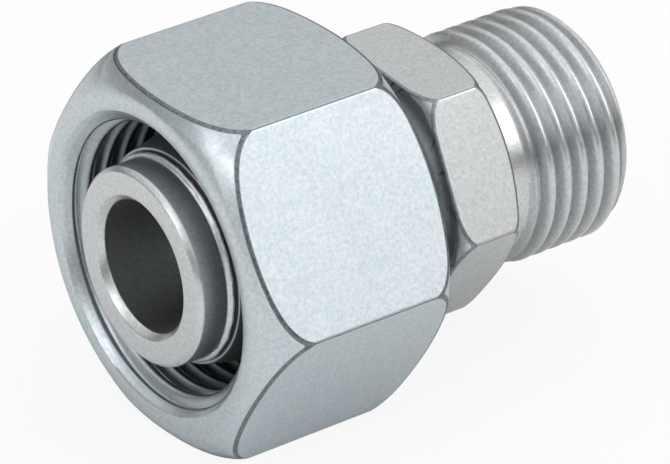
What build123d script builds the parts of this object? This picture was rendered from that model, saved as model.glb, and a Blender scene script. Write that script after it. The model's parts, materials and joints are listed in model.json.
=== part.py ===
from build123d import *
from math import cos, radians, tan
import os

# Straight reducing coupling for metric hydraulic tube, 15 mm down to 12 mm.
# The frame: X runs along the bore towards the small end, Z is up, and Z = 0 is the
# nut's bottom flat, on which the coupling lies. X = 0 is halfway along the coupling.
# All lengths are in millimetres. A place along the bore is measured from the stub's end.

# Tubes that it joins, and the angles of the fitting system
large_tube_diameter = 15.0
small_tube_diameter = 12.0
cone_half_angle = 12.0
seat_angle = 45.0
hex_bevel_angle = 30.0

# Tube stub at the large end
stub_edge_chamfer = 0.35
stub_root_chamfer = 0.6
bore_edge_chamfer = 0.5

# Hexagon of the body, sized to stand a step above the larger of its two ends
body_hex_width = 6.0
body_hex_step = 0.5
body_hex_turn = 2.2
body_hex_edge_radius = 0.15
body_front_bevel_step = 0.45
body_rear_bevel_inset = 0.4

# Threaded stud at the small end, with the sealing cone and the tube socket inside
stud_length = 11.2
stud_wall = 1.85
stud_neck_depth = 0.9
stud_neck_width = 2.0
stud_neck_chamfer = 0.3
stud_end_chamfer = 0.95
cone_depth = 5.41
socket_straight = 1.59
tube_stop_width = 1.0

# Cutting ring, pressed on to the stub so that its edge bites in
ring_setback = 3.0
ring_nose_wall = 0.6
ring_cone_length = 6.6
ring_land_width = 1.0
ring_heel_wall = 0.5
ring_bite_depth = 0.25
ring_bite_width = 0.8

# Ridge of metal that the ring's edge pushed up in front of itself
ridge_height = 0.35
ridge_width = 0.55

# Union nut, drawn its full travel back from where its seat meets the ring
nut_travel = 2.35
nut_back_gap = 3.15
nut_ring_clearance = 0.687
nut_wall = 3.31
nut_bevel_inset = 0.85
nut_hex_edge_radius = 0.25
nut_mouth_chamfer = 1.31
nut_thread_depth = 10.0
nut_runout_depth = 0.96
nut_runout_width = 1.6
nut_seat_step = 0.19
nut_rear_land = 3.05
nut_rear_clearance = 0.15
nut_rear_chamfer = 0.4

# Radii of the body, from the bore's axis
stub_radius = large_tube_diameter / 2
socket_radius = small_tube_diameter / 2
bore_radius = socket_radius - tube_stop_width
cone_mouth_radius = socket_radius + cone_depth * tan(radians(cone_half_angle))
thread_radius = cone_mouth_radius + stud_wall
neck_radius = thread_radius - stud_neck_depth
body_flat_radius = max(stub_radius, thread_radius) + body_hex_step

# Radii of the ring and the nut
ring_nose_radius = stub_radius + ring_nose_wall
ring_outer_radius = ring_nose_radius + ring_cone_length * tan(radians(cone_half_angle))
ring_heel_radius = stub_radius + ring_heel_wall
nut_minor_radius = ring_outer_radius + nut_ring_clearance
nut_mouth_radius = nut_minor_radius + nut_mouth_chamfer
nut_runout_radius = nut_minor_radius + nut_runout_depth
nut_seat_radius = nut_minor_radius - nut_seat_step
nut_rear_radius = stub_radius + nut_rear_clearance
nut_flat_radius = nut_minor_radius + nut_wall

# Places of the ring and the nut along the bore, from the stub's end
ring_cone_end = ring_setback + ring_cone_length
ring_land_end = ring_cone_end + ring_land_width
ring_rear = ring_land_end + (ring_outer_radius - ring_heel_radius) * tan(radians(seat_angle))
bite_end = ring_setback + ring_bite_width
seat_start = ring_land_end + nut_travel - (nut_seat_radius - ring_outer_radius) * tan(radians(seat_angle))
seat_end = seat_start + (nut_seat_radius - nut_rear_radius) * tan(radians(seat_angle))
thread_end = seat_start - nut_runout_width
nut_front = thread_end - nut_thread_depth
nut_rear = seat_end + nut_rear_land

# Places of the body along the bore, from the stub's end
hex_front = nut_rear + nut_back_gap
hex_rear = hex_front + body_hex_width
hex_middle = (hex_front + hex_rear) / 2
neck_end = hex_rear + stud_neck_width
coupling_length = hex_rear + stud_length
cone_end = coupling_length - cone_depth
socket_end = cone_end - socket_straight

# The bore's axis and the plane on which the half sections are drawn:
# a point (s, r) there lies s from the stub's end and r from the bore's axis.
axis_height = nut_flat_radius
stub_end_x = -coupling_length / 2
bore_axis = Axis((0, 0, axis_height), (1, 0, 0))
section_plane = Plane(origin=(stub_end_x, 0, axis_height), x_dir=(1, 0, 0), z_dir=(0, -1, 0))


def cross_plane(distance):
    """The plane across the bore at a distance from the stub's end, with Z up in it."""
    return Plane(origin=(stub_end_x + distance, 0, axis_height), x_dir=(0, 1, 0), z_dir=(1, 0, 0))


def hexagon_envelope(start, end, flat_radius, start_radius, end_radius):
    """Half section of a turned bar whose bevelled ends cut a hexagon's corners back."""
    bar_radius = flat_radius * 1.2
    start_bevel = (bar_radius - start_radius) * tan(radians(hex_bevel_angle))
    end_bevel = (bar_radius - end_radius) * tan(radians(hex_bevel_angle))
    Polyline(
        (start, 0),
        (start, start_radius),
        (start + start_bevel, bar_radius),
        (end - end_bevel, bar_radius),
        (end, end_radius),
        (end, 0),
        close=True,
    )


# Body: the hexagon with both ends bevelled, then the turned stub, neck and stud
with BuildPart() as coupling_body:
    with BuildSketch(cross_plane(hex_front)):
        RegularPolygon(body_flat_radius, 6, major_radius=False, rotation=body_hex_turn)
    extrude(amount=body_hex_width)
    fillet(coupling_body.edges().filter_by(Axis.X), radius=body_hex_edge_radius)
    with BuildSketch(section_plane):
        with BuildLine():
            front_bevel_radius = body_flat_radius + body_front_bevel_step
            rear_bevel_radius = body_flat_radius - body_rear_bevel_inset
            hexagon_envelope(hex_front, hex_rear, body_flat_radius, front_bevel_radius, rear_bevel_radius)
        make_face()
    revolve(axis=bore_axis, mode=Mode.INTERSECT)

    # Tube stub, with the ridge in front of the ring and the groove that its edge bit
    with BuildSketch(section_plane):
        with BuildLine():
            Polyline(
                (0, 0),
                (0, stub_radius - stub_edge_chamfer),
                (stub_edge_chamfer, stub_radius),
                (ring_setback - ridge_width, stub_radius),
                (ring_setback - ridge_width / 2, stub_radius + ridge_height),
                (ring_setback, stub_radius),
                (ring_setback, stub_radius - ring_bite_depth),
                (bite_end, stub_radius),
                (hex_front - stub_root_chamfer, stub_radius),
                (hex_front, stub_radius + stub_root_chamfer),
                (hex_middle, stub_radius + stub_root_chamfer),
                (hex_middle, 0),
                close=True,
            )
        make_face()
    revolve(axis=bore_axis)

    # Neck and stud, at the thread's major diameter
    with BuildSketch(section_plane):
        with BuildLine():
            Polyline(
                (hex_middle, 0),
                (hex_middle, neck_radius + stud_neck_chamfer),
                (hex_rear, neck_radius + stud_neck_chamfer),
                (hex_rear + stud_neck_chamfer, neck_radius),
                (neck_end, neck_radius),
                (neck_end + stud_neck_depth, thread_radius),
                (coupling_length - stud_end_chamfer, thread_radius),
                (coupling_length, thread_radius - stud_end_chamfer),
                (coupling_length, 0),
                close=True,
            )
        make_face()
    revolve(axis=bore_axis)

    # Bore, tube socket and sealing cone
    with BuildSketch(section_plane):
        with BuildLine():
            Polyline(
                (0, 0),
                (0, bore_radius + bore_edge_chamfer),
                (bore_edge_chamfer, bore_radius),
                (socket_end, bore_radius),
                (socket_end, socket_radius),
                (cone_end, socket_radius),
                (coupling_length, cone_mouth_radius),
                (coupling_length, 0),
                close=True,
            )
        make_face()
    revolve(axis=bore_axis, mode=Mode.SUBTRACT)
coupling_body.part.label = "coupling_body"

# Cutting ring: a long cone towards the nose and a heel for the nut's seat to push on
with BuildPart() as cutting_ring:
    with BuildSketch(section_plane):
        with BuildLine():
            Polyline(
                (ring_setback, stub_radius - ring_bite_depth),
                (ring_setback, ring_nose_radius),
                (ring_cone_end, ring_outer_radius),
                (ring_land_end, ring_outer_radius),
                (ring_rear, ring_heel_radius),
                (ring_rear, stub_radius),
                (bite_end, stub_radius),
                close=True,
            )
        make_face()
    revolve(axis=bore_axis)
cutting_ring.part.label = "cutting_ring"

# Union nut: a bevelled hexagon, turned out to the thread, the seat and the rear hole
with BuildPart() as union_nut:
    with BuildSketch(cross_plane(nut_front)):
        RegularPolygon(nut_flat_radius, 6, major_radius=False)
    extrude(amount=nut_rear - nut_front)
    fillet(union_nut.edges().filter_by(Axis.X), radius=nut_hex_edge_radius)
    with BuildSketch(section_plane):
        with BuildLine():
            nut_bevel_radius = nut_flat_radius - nut_bevel_inset
            hexagon_envelope(nut_front, nut_rear, nut_flat_radius, nut_bevel_radius, nut_bevel_radius)
        make_face()
    revolve(axis=bore_axis, mode=Mode.INTERSECT)
    with BuildSketch(section_plane):
        with BuildLine():
            Polyline(
                (nut_front, 0),
                (nut_front, nut_mouth_radius),
                (nut_front + nut_mouth_chamfer, nut_minor_radius),
                (thread_end, nut_minor_radius),
                (thread_end, nut_runout_radius),
                (seat_start, nut_runout_radius),
                (seat_start, nut_seat_radius),
                (seat_end, nut_rear_radius),
                (nut_rear - nut_rear_chamfer, nut_rear_radius),
                (nut_rear, nut_rear_radius + nut_rear_chamfer),
                (nut_rear, 0),
                close=True,
            )
        make_face()
    revolve(axis=bore_axis, mode=Mode.SUBTRACT)
union_nut.part.label = "union_nut"

os.makedirs("parts", exist_ok=True)
export_step(coupling_body.part, "parts/coupling_body.step")
export_step(cutting_ring.part, "parts/cutting_ring.step")
export_step(union_nut.part, "parts/union_nut.step")
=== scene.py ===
import bmesh
import bpy
import json
from math import atan2, ceil, cos, hypot, pi, radians, sin, sqrt, tan
from mathutils import Matrix, Vector, noise


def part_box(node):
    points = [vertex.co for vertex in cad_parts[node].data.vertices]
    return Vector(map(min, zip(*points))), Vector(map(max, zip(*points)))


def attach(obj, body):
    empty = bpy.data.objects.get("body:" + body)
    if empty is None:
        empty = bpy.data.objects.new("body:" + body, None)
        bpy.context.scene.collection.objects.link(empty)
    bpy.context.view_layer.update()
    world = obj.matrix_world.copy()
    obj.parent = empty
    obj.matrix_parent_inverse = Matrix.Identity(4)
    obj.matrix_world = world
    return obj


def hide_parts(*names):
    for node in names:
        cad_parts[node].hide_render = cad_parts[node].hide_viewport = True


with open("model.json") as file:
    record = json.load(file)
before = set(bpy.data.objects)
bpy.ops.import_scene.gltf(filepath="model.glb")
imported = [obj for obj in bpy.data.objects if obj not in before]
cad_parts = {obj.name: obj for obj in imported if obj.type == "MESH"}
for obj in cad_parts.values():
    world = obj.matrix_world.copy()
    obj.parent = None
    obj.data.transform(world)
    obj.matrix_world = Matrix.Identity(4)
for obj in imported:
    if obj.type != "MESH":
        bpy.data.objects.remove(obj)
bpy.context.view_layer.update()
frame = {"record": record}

# Reducing coupling with its union nut and cutting ring. Everything is in metres. X runs along
# the bore towards the small end, Z is up, and the nut lies with one flat on Z = 0.
# A half section is a row of points (x, r): x along the bore, r from the bore's axis.

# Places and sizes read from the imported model
mounts = {mount["name"]: mount for mount in frame["record"]["mounts"]}
nut_low, nut_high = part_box("union_nut")
ring_low, ring_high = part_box("cutting_ring")
body_low, body_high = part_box("coupling_body")
AXIS_HEIGHT = mounts["stud_thread"]["pos_m"][2]
STUB_RADIUS = mounts["tube_stub"]["dims"]["r_mm"] / 1000
THREAD_RADIUS = mounts["stud_thread"]["dims"]["r_mm"] / 1000
SOCKET_RADIUS = mounts["tube_socket"]["dims"]["r_mm"] / 1000
NUT_MINOR_RADIUS = mounts["nut_thread"]["dims"]["r_mm"] / 1000
NUT_FLAT_RADIUS = AXIS_HEIGHT
STUB_END = body_low.x
STUD_END = body_high.x
NUT_FRONT = nut_low.x
NUT_REAR = nut_high.x
RING_FRONT = ring_low.x
RING_REAR = ring_high.x
RING_OUTER_RADIUS = (ring_high.y - ring_low.y) / 2
THREAD_START = mounts["stud_thread"]["pos_m"][0] - mounts["stud_thread"]["dims"]["length_mm"] / 2000
SOCKET_END = mounts["tube_socket"]["pos_m"][0] - mounts["tube_socket"]["dims"]["length_mm"] / 2000
CONE_END = mounts["tube_socket"]["pos_m"][0] + mounts["tube_socket"]["dims"]["length_mm"] / 2000

# Sizes of the metric 24 degree fitting system
PITCH = 0.0015
CONE_SLOPE = tan(radians(12))
BEVEL_SLOPE = tan(radians(30))

# Body
BORE_RADIUS = 0.005
BORE_CHAMFER = 0.0005
STUB_CHAMFER = 0.00035
STUB_ROOT = 0.0006
NECK_DEPTH = 0.0009
NECK_WIDTH = 0.002
NECK_RADIUS = THREAD_RADIUS - NECK_DEPTH
STUD_CHAMFER = 0.00095
BODY_EDGE = 0.00012
HEX_WIDTH = 0.006
HEX_FLAT_RADIUS = 0.0095
HEX_TURN = radians(2.2)
HEX_FRONT_BEVEL = 0.00995
HEX_REAR_BEVEL = 0.0091
NECK_END = THREAD_START - NECK_DEPTH
HEX_REAR = NECK_END - NECK_WIDTH
HEX_FRONT = HEX_REAR - HEX_WIDTH

# Ridge in front of the ring: its top and its foot as shares of its width, and its lumps
RIDGE_HEIGHT = 0.00035
RIDGE_WIDTH = 0.00055
RIDGE_TOP_START = 0.3
RIDGE_TOP_END = 0.35
RIDGE_FOOT = 0.15
RIDGE_LUMP = 0.00006
RIDGE_LUMPS_PER_METRE = 900

# Cutting ring
RING_NOSE_WALL = 0.0006
RING_HEEL_WALL = 0.0005
RING_LAND = 0.001
RING_EDGE = 0.0001

# Union nut
NUT_BEVEL = 0.01265
NUT_MOUTH_RADIUS = NUT_MINOR_RADIUS + 0.00131
NUT_MAJOR_RADIUS = NUT_MINOR_RADIUS + 0.00081
NUT_RUNOUT_RADIUS = NUT_MINOR_RADIUS + 0.00096
NUT_THREAD_DEPTH = 0.01
NUT_RUNOUT = 0.0016
NUT_SEAT_RADIUS = NUT_MINOR_RADIUS - 0.00019
NUT_REAR_RADIUS = STUB_RADIUS + 0.00015
NUT_REAR_CHAMFER = 0.0004
NUT_EDGE = 0.00014
NUT_INSIDE_EDGE = 0.0002

# Fineness of the turned meshes: columns round the axis, and points round an edge
COLUMNS = 360
EDGE_STEPS = 4
CORNER_CROWDING = 0.8
MERGE = 1e-7

# One pitch of a thread: share of the pitch, and height from root to crest
THREAD_FORM = (
    (0.00, 0.00), (0.05, 0.00), (0.10, 0.09), (0.19, 0.42), (0.28, 0.74), (0.36, 0.93),
    (0.44, 1.00), (0.56, 1.00), (0.64, 0.93), (0.72, 0.74), (0.81, 0.42), (0.90, 0.09), (0.95, 0.00),
)

# Hexagons: rounding of the edges, reach of the painted shade lines along them, radii at which
# the bevels bend over into the corners, and the rows across a bevel as shares of its width
CORNER_ROUND = 0.0003
LINE_REACH = 0.00009
NUT_FRONT_BEND = 0.0036
NUT_REAR_BEND = 0.0028
BODY_BEND = 0.0012
BEVEL_SHARES = (0, 0.35, 0.7)

# Painted shade: darker colour in the stud's thread roots, and inside the nut from its mouth inwards
THREAD_SHADE = 0.4
NUT_SHADE_DEPTH = 0.004
NUT_SHADE_LEAST = 0.25


# Meshes
def rounded(points, closed):
    """The points of a half section, with each corner that has an edge length rounded by a short curve.

    A point is (x, r, edge, row): edge is how far from the corner the curve starts, and row
    numbers the points that a hexagon moves. The others have row 0.
    """
    result = []
    for i, (x, r, edge, row) in enumerate(points):
        corner = Vector((x, r))
        on_end = not closed and i in (0, len(points) - 1)
        if edge == 0 or on_end:
            result.append((corner, row))
            continue
        before = Vector(points[i - 1][:2])
        after = Vector(points[(i + 1) % len(points)][:2])
        start = corner + (before - corner).normalized() * edge
        end = corner + (after - corner).normalized() * edge
        for step in range(EDGE_STEPS + 1):
            t = step / EDGE_STEPS
            result.append((start.lerp(corner, t).lerp(corner.lerp(end, t), t), row))
    return result


def turn_section(mesh, points, closed=True):
    """Spins a half section about the bore's axis into the mesh."""
    row_layer = mesh.verts.layers.int.new("row")
    line = []
    for place, row in rounded(points, closed):
        vertex = mesh.verts.new((place.x, 0, AXIS_HEIGHT + place.y))
        vertex[row_layer] = row
        line.append(vertex)
    pairs = zip(line, line[1:] + line[:1]) if closed else zip(line, line[1:])
    edges = [mesh.edges.new(pair) for pair in pairs]
    bmesh.ops.spin(
        mesh, geom=line + edges, cent=(0, 0, AXIS_HEIGHT), axis=(1, 0, 0),
        angle=2 * pi, steps=COLUMNS, use_merge=True,
    )


def cut_thread(mesh, start, end, root_radius, crest_radius, trim):
    """Spins one pitch of a right-hand thread along a helix, and trims it to its two ends.

    trim gives a point's radius from its x and its thread radius. At both ends it must give one
    radius for every point, so that the helix closes there in a plain ring.
    """
    row = []
    old = set(mesh.verts)
    for share, height in THREAD_FORM + ((1.0, 0.0),):
        radius = root_radius + (crest_radius - root_radius) * height
        row.append(mesh.verts.new((start - PITCH + share * PITCH, 0, AXIS_HEIGHT + radius)))
    edges = [mesh.edges.new(pair) for pair in zip(row, row[1:])]
    before = set(mesh.faces)
    bmesh.ops.spin(
        mesh, geom=row + edges, cent=(0, 0, AXIS_HEIGHT), axis=(1, 0, 0),
        dvec=(PITCH / COLUMNS, 0, 0), angle=2 * pi, steps=COLUMNS,
    )
    first_turn = [face for face in mesh.faces if face not in before]
    for turn in range(1, ceil((end - start) / PITCH) + 1):
        copy = bmesh.ops.duplicate(mesh, geom=first_turn)
        copied = [part for part in copy["geom"] if isinstance(part, bmesh.types.BMVert)]
        bmesh.ops.translate(mesh, verts=copied, vec=(PITCH * turn, 0, 0))
    for vertex in mesh.verts:
        if vertex in old:
            continue
        across = Vector((0, vertex.co.y, vertex.co.z - AXIS_HEIGHT))
        x = min(max(vertex.co.x, start), end)
        across *= trim(x, across.length) / across.length
        vertex.co = Vector((x, across.y, AXIS_HEIGHT + across.z))


def hexagon_radius(angle, flat_radius, corner_round):
    """Distance from the axis to a hexagon with rounded corners, at an angle from a flat's middle."""
    centre_radius = (flat_radius - corner_round) / cos(pi / 6)
    from_corner = pi / 6 - abs(angle)
    if from_corner > pi / 6 - atan2((flat_radius - corner_round) * tan(pi / 6), flat_radius):
        return flat_radius / cos(angle)
    aside = centre_radius * sin(from_corner)
    return centre_radius * cos(from_corner) + sqrt(corner_round ** 2 - aside ** 2)


def bevel_depth(radius, inner, corner, bend):
    """How far behind the face a bevel lies: a 30 degree cone that bends over towards the corners."""
    overlap = bend * tan(pi / 6)
    if radius < corner - overlap * cos(pi / 6):
        return max(radius - inner, 0) * BEVEL_SLOPE
    rise = max(bend ** 2 - (radius - corner + bend) ** 2, 0)
    return (corner - inner) * BEVEL_SLOPE + overlap - sqrt(rise)


def bevel_rows(reach, flat_radius, inner, bend, edge):
    """Rows (depth, r, line, on flat) of a hexagon's end from its face to its flat, at one angle. line is 1
    on the rounded edge, where the painted shade line lies.

    reach is how far from the axis the hexagon stands at that angle.
    """
    corner = flat_radius / cos(pi / 6)
    start = min(inner, reach - edge)
    low = max(start, reach - edge - LINE_REACH)
    radii = [start + (low - start) * share for share in BEVEL_SHARES] + [low]
    rows = [(bevel_depth(radius, inner, corner, bend), radius, 0, 0) for radius in radii]
    first = Vector((bevel_depth(reach - edge, inner, corner, bend), reach - edge))
    middle = Vector((max(bevel_depth(reach, inner, corner, bend), edge / 2), reach))
    last = Vector((middle.x + edge, reach))
    for step in range(EDGE_STEPS + 1):
        t = step / EDGE_STEPS
        place = first.lerp(middle, t).lerp(middle.lerp(last, t), t)
        rows.append((place.x, place.y, 1, step / EDGE_STEPS))
    rows.append((last.x + LINE_REACH, reach, 0, 1))
    return rows


def grow_hexagon(mesh, outline, flat_radius, turn):
    """Moves the numbered points of a turned mesh out to a hexagon, with more columns at its corners, and
    stores where the painted shade line along its edges lies and where its flats are.
    """
    row_layer = mesh.verts.layers.int["row"]
    painted_line_layer = mesh.verts.layers.float.new("edge")
    flat_layer = mesh.verts.layers.float.new("hexagon")
    sector = pi / 3
    for vertex in mesh.verts:
        row = vertex[row_layer]
        if row == 0:
            continue
        angle = atan2(-vertex.co.y, vertex.co.z - AXIS_HEIGHT)
        from_flat = (angle - turn + sector / 2) % sector - sector / 2
        shift = CORNER_CROWDING / 6 * sin(6 * from_flat)
        from_flat += shift
        angle += shift
        x, radius, line, on_flat = outline(hexagon_radius(from_flat, flat_radius, CORNER_ROUND))[row - 1]
        vertex.co = (x, -radius * sin(angle), AXIS_HEIGHT + radius * cos(angle))
        from_corner = flat_radius * (sector / 2 - abs(from_flat))
        # Painted shade line: darker colour along the rounded edges and the corners between flats
        vertex[painted_line_layer] = max(line, on_flat * (1 - from_corner / LINE_REACH), 0)
        vertex[flat_layer] = on_flat


def finished(mesh, name, body, node, material):
    """Closes the mesh, makes it the named piece on its body, and gives it its finish."""
    bmesh.ops.remove_doubles(mesh, verts=mesh.verts[:], dist=MERGE)
    bmesh.ops.dissolve_degenerate(mesh, edges=mesh.edges[:], dist=MERGE)
    bmesh.ops.recalc_face_normals(mesh, faces=mesh.faces[:])
    data = bpy.data.meshes.new(name)
    mesh.to_mesh(data)
    mesh.free()
    data.polygons.foreach_set("use_smooth", [True] * len(data.polygons))
    data.materials.append(material)
    piece = bpy.data.objects.new(name, data)
    bpy.context.scene.collection.objects.link(piece)
    weighted = piece.modifiers.new("even_normals", "WEIGHTED_NORMAL")
    weighted.weight = 100
    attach(piece, body)
    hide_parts(node)
    return piece


def body_outline(reach):
    """The rows of the body's hexagon from its front face to its rear face."""
    front = bevel_rows(reach, HEX_FLAT_RADIUS, HEX_FRONT_BEVEL, BODY_BEND, BODY_EDGE)
    rear = bevel_rows(reach, HEX_FLAT_RADIUS, HEX_REAR_BEVEL, BODY_BEND, BODY_EDGE)
    rows = [(HEX_FRONT + depth, *rest) for depth, *rest in front]
    return rows + [(HEX_REAR - depth, *rest) for depth, *rest in reversed(rear)]


def nut_outline(reach):
    """The rows of the nut's hexagon from its rear face to its front face."""
    front = bevel_rows(reach, NUT_FLAT_RADIUS, NUT_BEVEL, NUT_FRONT_BEND, NUT_EDGE)
    rear = bevel_rows(reach, NUT_FLAT_RADIUS, NUT_BEVEL, NUT_REAR_BEND, NUT_EDGE)
    rows = [(NUT_REAR - depth, *rest) for depth, *rest in rear]
    return rows + [(NUT_FRONT + depth, *rest) for depth, *rest in reversed(front)]


def numbered(rows):
    """Section points for a hexagon's rows, numbered so that they can be moved."""
    return [(x, r, 0, row) for row, (x, r, line, on_flat) in enumerate(rows, 1)]


def make_body(material):
    """The turned body: stub with its ridge, hexagon, neck, threaded stud, cone, socket and bore."""
    mesh = bmesh.new()
    ridge_start = RING_FRONT - RIDGE_WIDTH
    ridge_top = STUB_RADIUS + RIDGE_HEIGHT
    cone_mouth = SOCKET_RADIUS + (STUD_END - CONE_END) * CONE_SLOPE
    thread_end_radius = THREAD_RADIUS - STUD_CHAMFER
    section = [
        (STUD_END, thread_end_radius, 0, 0),
        (STUD_END, cone_mouth, BODY_EDGE, 0),
        (CONE_END, SOCKET_RADIUS, BODY_EDGE, 0),
        (SOCKET_END, SOCKET_RADIUS, BODY_EDGE, 0),
        (SOCKET_END, BORE_RADIUS, BODY_EDGE, 0),
        (STUB_END + BORE_CHAMFER, BORE_RADIUS, BODY_EDGE, 0),
        (STUB_END, BORE_RADIUS + BORE_CHAMFER, BODY_EDGE, 0),
        (STUB_END, STUB_RADIUS - STUB_CHAMFER, BODY_EDGE, 0),
        (STUB_END + STUB_CHAMFER, STUB_RADIUS, BODY_EDGE, 0),
        (ridge_start, STUB_RADIUS, BODY_EDGE, 0),
        (ridge_start + RIDGE_WIDTH * RIDGE_TOP_START, ridge_top, BODY_EDGE, 0),
        (RING_FRONT - RIDGE_WIDTH * RIDGE_TOP_END, ridge_top, BODY_EDGE, 0),
        (RING_FRONT - RIDGE_WIDTH * RIDGE_FOOT, STUB_RADIUS, 0, 0),
        (HEX_FRONT, STUB_RADIUS, STUB_ROOT, 0),
    ]
    section += numbered(body_outline(HEX_FLAT_RADIUS))
    section += [
        (HEX_REAR, NECK_RADIUS, STUB_ROOT / 2, 0),
        (HEX_REAR + NECK_WIDTH / 2, NECK_RADIUS, 0, 0),
    ]
    turn_section(mesh, section, closed=False)

    def trim_stud(x, radius):
        ramp = NECK_RADIUS + max(x - NECK_END, 0)
        chamfer = thread_end_radius + STUD_END - x
        return min(radius, ramp, chamfer)

    cut_thread(mesh, HEX_REAR + NECK_WIDTH / 2, STUD_END, NECK_RADIUS, THREAD_RADIUS, trim_stud)
    grow_hexagon(mesh, body_outline, HEX_FLAT_RADIUS, HEX_TURN)
    # Painted shade: the deeper a point lies in the thread's roots, the darker its colour
    shade_layer = mesh.verts.layers.float.new("shade")
    for vertex in mesh.verts:
        radius = hypot(vertex.co.y, vertex.co.z - AXIS_HEIGHT)
        if vertex.co.x > NECK_END and radius > NECK_RADIUS - MERGE:
            vertex[shade_layer] = (THREAD_RADIUS - radius) / NECK_DEPTH * THREAD_SHADE
        if vertex.co.x < RING_FRONT and radius > STUB_RADIUS + RIDGE_HEIGHT / 4:
            lump = noise.fractal(vertex.co * RIDGE_LUMPS_PER_METRE, 1.0, 2.0, 3) * RIDGE_LUMP
            outward = Vector((0, vertex.co.y, vertex.co.z - AXIS_HEIGHT)).normalized()
            vertex.co += outward * lump
    return finished(mesh, "turned_body", "coupling", "coupling_body", material)


def make_ring(material):
    """The cutting ring: nose, long cone, land and heel, bedded on the stub."""
    mesh = bmesh.new()
    nose = STUB_RADIUS + RING_NOSE_WALL
    cone_end = RING_FRONT + (RING_OUTER_RADIUS - nose) / CONE_SLOPE
    land_end = cone_end + RING_LAND
    turn_section(mesh, [
        (RING_FRONT, STUB_RADIUS, 0, 0),
        (RING_FRONT, nose, RING_EDGE, 0),
        (cone_end, RING_OUTER_RADIUS, RING_EDGE, 0),
        (land_end, RING_OUTER_RADIUS, RING_EDGE, 0),
        (RING_REAR, STUB_RADIUS + RING_HEEL_WALL, RING_EDGE, 0),
        (RING_REAR, STUB_RADIUS, 0, 0),
    ])
    return finished(mesh, "bite_ring", "coupling", "cutting_ring", material)


def make_nut(material):
    """The union nut: bevelled hexagon, threaded mouth, seat and rear hole."""
    mesh = bmesh.new()
    thread_end = NUT_FRONT + NUT_THREAD_DEPTH
    seat_start = thread_end + NUT_RUNOUT
    seat_end = seat_start + NUT_SEAT_RADIUS - NUT_REAR_RADIUS
    section = [
        (thread_end, NUT_RUNOUT_RADIUS, 0, 0),
        (seat_start, NUT_RUNOUT_RADIUS, NUT_INSIDE_EDGE, 0),
        (seat_start, NUT_SEAT_RADIUS, NUT_INSIDE_EDGE, 0),
        (seat_end, NUT_REAR_RADIUS, NUT_INSIDE_EDGE, 0),
        (NUT_REAR - NUT_REAR_CHAMFER, NUT_REAR_RADIUS, NUT_INSIDE_EDGE, 0),
        (NUT_REAR, NUT_REAR_RADIUS + NUT_REAR_CHAMFER, NUT_INSIDE_EDGE, 0),
    ]
    section += numbered(nut_outline(NUT_FLAT_RADIUS))
    section.append((NUT_FRONT, NUT_MOUTH_RADIUS, 0, 0))
    turn_section(mesh, section, closed=False)

    def trim_nut(x, radius):
        chamfer = NUT_MOUTH_RADIUS + NUT_FRONT - x
        runout = NUT_RUNOUT_RADIUS if x >= thread_end else 0
        return max(radius, chamfer, runout)

    cut_thread(mesh, NUT_FRONT, thread_end, NUT_MAJOR_RADIUS, NUT_MINOR_RADIUS, trim_nut)
    grow_hexagon(mesh, nut_outline, NUT_FLAT_RADIUS, 0)
    # Painted shade: the inside of the nut darkens in colour from its mouth inwards
    shade_layer = mesh.verts.layers.float.new("shade")
    for vertex in mesh.verts:
        radius = hypot(vertex.co.y, vertex.co.z - AXIS_HEIGHT)
        if radius < NUT_RUNOUT_RADIUS + MERGE:
            inwards = (vertex.co.x - NUT_FRONT) / NUT_SHADE_DEPTH
            vertex[shade_layer] = min(max(inwards, NUT_SHADE_LEAST), 1)
    return finished(mesh, "hex_union_nut", "nut", "union_nut", material)


# Finishes
def node(tree, kind, x, y, **inputs):
    """A shader node at a place in the tree, with its plain inputs set."""
    made = tree.nodes.new(kind)
    made.location = (x, y)
    for key, value in inputs.items():
        made.inputs[key.replace("_", " ")].default_value = value
    return made


def link_all(tree, *pairs):
    """Joins each pair of sockets."""
    for output, target in pairs:
        tree.links.new(output, target)


def new_group(name, inputs, outputs):
    """An empty shader node group with named float and vector sockets, and its two end nodes."""
    tree = bpy.data.node_groups.new(name, "ShaderNodeTree")
    for label, kind in inputs:
        tree.interface.new_socket(label, in_out="INPUT", socket_type=kind)
    for label in outputs:
        tree.interface.new_socket(label, in_out="OUTPUT", socket_type="NodeSocketFloat")
    start = tree.nodes.new("NodeGroupInput")
    start.location = (-800, 0)
    end = tree.nodes.new("NodeGroupOutput")
    end.location = (800, 0)
    return tree, start, end


def math_node(tree, operation, x, y, first=None, second=None):
    """A Math node, with its plain values set."""
    made = tree.nodes.new("ShaderNodeMath")
    made.operation = operation
    made.location = (x, y)
    if first is not None:
        made.inputs[0].default_value = first
    if second is not None:
        made.inputs[1].default_value = second
    return made


VECTOR = "NodeSocketVector"
FLOAT = "NodeSocketFloat"

# How fine the finishes are, each per metre, and the band in which most of a noise's values lie
MARK_RATE = 9000
LINE_RATE = 4000
GRAIN_RATE = 3500
PATCH_RATE = 260
NOISE_LOW = 0.36
NOISE_HIGH = 0.64

# Share of the dark line's colour that the places with the deepest painted shade take
PAINTED_SHADE_SHARE = 0.8


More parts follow.
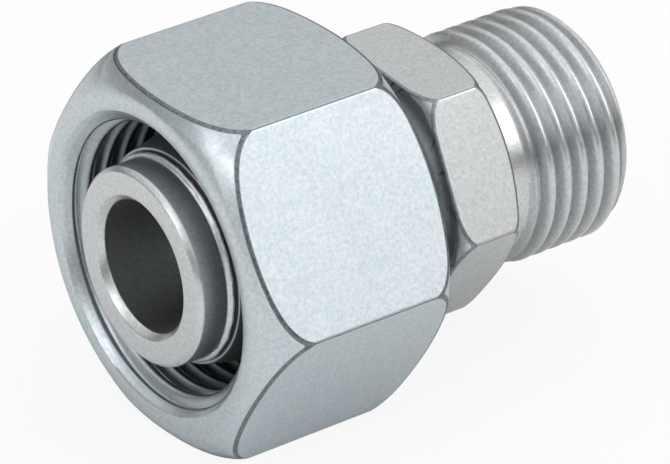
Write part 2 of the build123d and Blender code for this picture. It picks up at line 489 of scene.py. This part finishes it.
def make_turning_marks():
    """Fine rings left by the turning tool, round the bore's axis on any turned surface."""
    tree, start, end = new_group(
        "turning_marks", [("Vector", VECTOR), ("Marks per Metre", FLOAT)], ["Height"],
    )
    split = node(tree, "ShaderNodeSeparateXYZ", -600, 0)
    up = math_node(tree, "SUBTRACT", -450, -150, second=AXIS_HEIGHT)
    flat = node(tree, "ShaderNodeCombineXYZ", -300, -100)
    radius = tree.nodes.new("ShaderNodeVectorMath")
    radius.operation = "LENGTH"
    radius.location = (-150, -100)
    place = math_node(tree, "ADD", 0, 0)
    rings = node(tree, "ShaderNodeTexNoise", 200, 0, Detail=3.0, Roughness=0.65)
    rings.noise_dimensions = "1D"
    link_all(
        tree,
        (start.outputs["Vector"], split.inputs[0]),
        (split.outputs["Z"], up.inputs[0]),
        (split.outputs["Y"], flat.inputs["Y"]),
        (up.outputs[0], flat.inputs["Z"]),
        (flat.outputs[0], radius.inputs[0]),
        (split.outputs["X"], place.inputs[0]),
        (radius.outputs["Value"], place.inputs[1]),
        (place.outputs[0], rings.inputs["W"]),
        (start.outputs["Marks per Metre"], rings.inputs["Scale"]),
        (rings.outputs["Fac"], end.inputs["Height"]),
    )
    return tree


def make_drawn_lines():
    """Faint scratches along the bore, left on the flats of a drawn or milled hexagon."""
    tree, start, end = new_group("drawn_lines", [("Vector", VECTOR), ("Lines per Metre", FLOAT)], ["Height"])
    stretch = node(tree, "ShaderNodeMapping", -500, 0, Scale=(0.04, 1, 1))
    lines = node(tree, "ShaderNodeTexNoise", -200, 0, Detail=4.0, Roughness=0.6)
    link_all(
        tree,
        (start.outputs["Vector"], stretch.inputs["Vector"]),
        (stretch.outputs[0], lines.inputs["Vector"]),
        (start.outputs["Lines per Metre"], lines.inputs["Scale"]),
        (lines.outputs["Fac"], end.inputs["Height"]),
    )
    return tree


def make_grain():
    """Fine even grain and larger soft patches of a plated or blasted surface."""
    tree, start, end = new_group(
        "metal_grain", [("Vector", VECTOR), ("Grains per Metre", FLOAT), ("Patches per Metre", FLOAT)],
        ["Height", "Patches"],
    )
    grain = node(tree, "ShaderNodeTexNoise", -300, 150, Detail=4.0, Roughness=0.7)
    patches = node(tree, "ShaderNodeTexNoise", -300, -150, Detail=5.0, Roughness=0.55, Distortion=0.3)
    spread = node(tree, "ShaderNodeMapRange", 0, -150, From_Min=NOISE_LOW, From_Max=NOISE_HIGH)
    link_all(
        tree,
        (start.outputs["Vector"], grain.inputs["Vector"]),
        (start.outputs["Vector"], patches.inputs["Vector"]),
        (start.outputs["Grains per Metre"], grain.inputs["Scale"]),
        (start.outputs["Patches per Metre"], patches.inputs["Scale"]),
        (grain.outputs["Fac"], end.inputs["Height"]),
        (patches.outputs["Fac"], spread.inputs["Value"]),
        (spread.outputs["Result"], end.inputs["Patches"]),
    )
    return tree


def make_painted_edge_line():
    """The painted shade line along a hexagon's edges, broken up a little by grain."""
    tree, start, end = new_group("edge_line", [("Edge", FLOAT), ("Grain", FLOAT)], ["Mask"])
    breakup = node(
        tree, "ShaderNodeMapRange", -400, -150, From_Min=0.3, From_Max=0.7, To_Min=0.55, To_Max=1.0,
    )
    shape = node(tree, "ShaderNodeMapRange", -400, 100, From_Min=0.1, From_Max=0.8)
    shape.interpolation_type = "SMOOTHSTEP"
    both = math_node(tree, "MULTIPLY", -100, 0)
    link_all(
        tree,
        (start.outputs["Edge"], shape.inputs["Value"]),
        (start.outputs["Grain"], breakup.inputs["Value"]),
        (shape.outputs["Result"], both.inputs[0]),
        (breakup.outputs["Result"], both.inputs[1]),
        (both.outputs[0], end.inputs["Mask"]),
    )
    return tree


TURNING_MARKS = make_turning_marks()
DRAWN_LINES = make_drawn_lines()
METAL_GRAIN = make_grain()
PAINTED_EDGE_LINE = make_painted_edge_line()


def place_group(tree, group, x, y, **inputs):
    """A node group placed in a material, with its values set."""
    made = tree.nodes.new("ShaderNodeGroup")
    made.node_tree = group
    made.location = (x, y)
    for key, value in inputs.items():
        made.inputs[key.replace("_", " ")].default_value = value
    return made


def blend_colour(tree, x, y, first, second):
    """A colour mix of two plain colours, or of what is linked to it."""
    made = tree.nodes.new("ShaderNodeMix")
    made.data_type = "RGBA"
    made.location = (x, y)
    made.inputs["A"].default_value = (*first, 1)
    made.inputs["B"].default_value = (*second, 1)
    return made


def metal(name, cool, warm, line, roughness, marks, lines, grain):
    """A steel finish: two tints in fine grain, painted shade lines along the edges and painted shade in the
    hollows, tool marks and drawn lines.

    line is the colour of the painted shade lines along the edges and of the painted shade; marks, lines and
    grain are heights in metres.
    """
    material = bpy.data.materials.new(name)
    material.use_nodes = True
    tree = material.node_tree
    shader = tree.nodes["Principled BSDF"]
    shader.inputs["Metallic"].default_value = 1
    coordinates = node(tree, "ShaderNodeTexCoord", -1700, 0)
    # Painted shade line: the edge attribute darkens the colour along the hexagons' edges
    edge = node(tree, "ShaderNodeAttribute", -1700, -300)
    edge.attribute_name = "edge"
    hexagon = node(tree, "ShaderNodeAttribute", -1700, -500)
    hexagon.attribute_name = "hexagon"
    # Painted shade: the shade attribute darkens the colour in the thread roots and inside the nut
    shade = node(tree, "ShaderNodeAttribute", -1700, -700)
    shade.attribute_name = "shade"
    turned = place_group(tree, TURNING_MARKS, -1300, 300, Marks_per_Metre=MARK_RATE)
    drawn = place_group(tree, DRAWN_LINES, -1300, 100, Lines_per_Metre=LINE_RATE)
    grains = place_group(
        tree, METAL_GRAIN, -1300, -100, Grains_per_Metre=GRAIN_RATE, Patches_per_Metre=PATCH_RATE,
    )
    painted_edge_mask = place_group(tree, PAINTED_EDGE_LINE, -1000, -300)
    tints = blend_colour(tree, -800, 400, cool, warm)
    colour = blend_colour(tree, -500, 400, (0, 0, 0), line)
    speckle = node(tree, "ShaderNodeMapRange", -1000, 300, From_Min=NOISE_LOW, From_Max=NOISE_HIGH)
    painted_shade = math_node(tree, "MULTIPLY", -700, -500, second=PAINTED_SHADE_SHARE)
    darkened = math_node(tree, "MAXIMUM", -600, -300)
    on_turned = math_node(tree, "SUBTRACT", -1100, -500, first=1)
    turned_height = math_node(tree, "MULTIPLY", -900, 150)
    drawn_height = math_node(tree, "MULTIPLY", -900, 0)
    turned_bump = node(tree, "ShaderNodeBump", -600, 0, Strength=1.0, Distance=marks)
    drawn_bump = node(tree, "ShaderNodeBump", -400, 0, Strength=1.0, Distance=lines)
    grain_bump = node(tree, "ShaderNodeBump", -200, 0, Strength=1.0, Distance=grain)
    rough = node(tree, "ShaderNodeMapRange", -300, 200, To_Min=roughness - 0.01, To_Max=roughness + 0.02)
    link_all(
        tree,
        (coordinates.outputs["Object"], turned.inputs["Vector"]),
        (coordinates.outputs["Object"], drawn.inputs["Vector"]),
        (coordinates.outputs["Object"], grains.inputs["Vector"]),
        (edge.outputs["Fac"], painted_edge_mask.inputs["Edge"]),
        (grains.outputs["Height"], painted_edge_mask.inputs["Grain"]),
        (grains.outputs["Height"], speckle.inputs["Value"]),
        (speckle.outputs["Result"], tints.inputs["Factor"]),
        (tints.outputs["Result"], colour.inputs["A"]),
        (shade.outputs["Fac"], painted_shade.inputs[0]),
        (painted_shade.outputs[0], darkened.inputs[0]),
        (painted_edge_mask.outputs["Mask"], darkened.inputs[1]),
        (darkened.outputs[0], colour.inputs["Factor"]),
        (colour.outputs["Result"], shader.inputs["Base Color"]),
        (hexagon.outputs["Fac"], on_turned.inputs[1]),
        (turned.outputs["Height"], turned_height.inputs[0]),
        (on_turned.outputs[0], turned_height.inputs[1]),
        (drawn.outputs["Height"], drawn_height.inputs[0]),
        (hexagon.outputs["Fac"], drawn_height.inputs[1]),
        (turned_height.outputs[0], turned_bump.inputs["Height"]),
        (drawn_height.outputs[0], drawn_bump.inputs["Height"]),
        (grains.outputs["Height"], grain_bump.inputs["Height"]),
        (turned_bump.outputs["Normal"], drawn_bump.inputs["Normal"]),
        (drawn_bump.outputs["Normal"], grain_bump.inputs["Normal"]),
        (grain_bump.outputs["Normal"], shader.inputs["Normal"]),
        (grains.outputs["Patches"], rough.inputs["Value"]),
        (rough.outputs["Result"], shader.inputs["Roughness"]),
    )
    return material


# Each finish's third colour is the colour of its painted shade and painted edge lines
nut_zinc = metal(
    "bluish_zinc_plate", (0.50, 0.64, 0.66), (0.76, 0.74, 0.78), (0.07, 0.09, 0.10),
    roughness=0.34, marks=0.000004, lines=0.0, grain=0.000008,
)
body_steel = metal(
    "bright_turned_steel", (0.56, 0.61, 0.61), (0.76, 0.74, 0.76), (0.16, 0.17, 0.18),
    roughness=0.30, marks=0.000008, lines=0.000002, grain=0.000008,
)
ring_steel = metal(
    "dull_ring_steel", (0.38, 0.40, 0.42), (0.46, 0.45, 0.46), (0.1, 0.1, 0.1),
    roughness=0.4, marks=0.000006, lines=0.0, grain=0.000006,
)
make_body(body_steel)
make_ring(ring_steel)
make_nut(nut_zinc)


# Surroundings: how white the floor is and how much of its light the camera sees as plain white,
# and the room's brightness by height, from the horizon at 0 to straight up at 1
FLOOR_WHITE = 0.88
FLOOR_GLOW = 0.88
ROOM_LEVELS = ((0.0, 0.14), (0.16, 0.14), (0.38, 0.68), (0.62, 0.76), (0.80, 1.05))


def make_floor():
    """A wide white floor that shows the coupling's shadow."""
    mesh = bmesh.new()
    bmesh.ops.create_grid(mesh, x_segments=1, y_segments=1, size=3)
    data = bpy.data.meshes.new("floor")
    mesh.to_mesh(data)
    mesh.free()
    floor = bpy.data.objects.new("floor", data)
    bpy.context.scene.collection.objects.link(floor)
    material = bpy.data.materials.new("floor_white")
    material.use_nodes = True
    tree = material.node_tree
    shader = tree.nodes["Principled BSDF"]
    shader.inputs["Base Color"].default_value = (FLOOR_WHITE, FLOOR_WHITE, FLOOR_WHITE, 1)
    shader.inputs["Roughness"].default_value = 0.9
    glow = node(tree, "ShaderNodeEmission", 0, -200, Strength=1.0)
    path = node(tree, "ShaderNodeLightPath", -600, 0)
    share = math_node(tree, "MULTIPLY", -200, 0, second=FLOOR_GLOW)
    mix = node(tree, "ShaderNodeMixShader", 200, 0)
    link_all(
        tree,
        (path.outputs["Is Camera Ray"], share.inputs[0]),
        (share.outputs[0], mix.inputs[0]),
        (shader.outputs[0], mix.inputs[1]),
        (glow.outputs[0], mix.inputs[2]),
        (mix.outputs[0], tree.nodes["Material Output"].inputs["Surface"]),
    )
    data.materials.append(material)


def make_world():
    """White surroundings for the camera, and for the rest a soft room, darker along the horizon."""
    world = bpy.data.worlds.new("studio")
    bpy.context.scene.world = world
    world.use_nodes = True
    tree = world.node_tree
    background = tree.nodes["Background"]
    background.inputs["Color"].default_value = (1, 1, 1, 1)
    direction = node(tree, "ShaderNodeTexCoord", -1100, -200)
    split = node(tree, "ShaderNodeSeparateXYZ", -900, -200)
    room = node(tree, "ShaderNodeValToRGB", -700, -200)
    ramp = room.color_ramp.elements
    for i, (height, level) in enumerate(ROOM_LEVELS):
        stop = ramp[i] if i < 2 else ramp.new(height)
        stop.position = height
        stop.color = (level, level, level, 1)
    path = node(tree, "ShaderNodeLightPath", -700, 200)
    strength = tree.nodes.new("ShaderNodeMix")
    strength.inputs["B"].default_value = 1
    link_all(
        tree,
        (direction.outputs["Generated"], split.inputs[0]),
        (split.outputs["Z"], room.inputs[0]),
        (path.outputs["Is Camera Ray"], strength.inputs["Factor"]),
        (room.outputs["Color"], strength.inputs["A"]),
        (strength.outputs["Result"], background.inputs["Strength"]),
    )


def softbox(name, place, size, power):
    """A square area lamp turned to the coupling."""
    lamp = bpy.data.lights.new(name, "AREA")
    lamp.size = size
    lamp.energy = power
    holder = bpy.data.objects.new(name, lamp)
    bpy.context.scene.collection.objects.link(holder)
    place = Vector(place)
    target = Vector((0, 0, AXIS_HEIGHT))
    aim = (target - place).to_track_quat("-Z", "Y").to_matrix().to_4x4()
    holder.matrix_world = Matrix.Translation(place) @ aim


def make_camera():
    """The photograph's view, from a camera fitted to edges read off it."""
    camera = bpy.data.cameras.new("camera")
    camera.lens = 296.92
    camera.sensor_width = 36
    camera.clip_start = 0.01
    holder = bpy.data.objects.new("camera", camera)
    holder.location = (-0.21175, -0.27731, 0.21429)
    holder.rotation_euler = (radians(59.6495), radians(-0.7761), radians(-36.6961))
    bpy.context.scene.collection.objects.link(holder)
    bpy.context.scene.camera = holder


make_floor()
make_world()
softbox("front_softbox", (0.40, -0.47, 0.475), 0.55, 1.15)
softbox("left_softbox", (-0.60, 0.02, 0.28), 0.28, 0.4)
make_camera()
bpy.context.scene.view_settings.view_transform = "Standard"
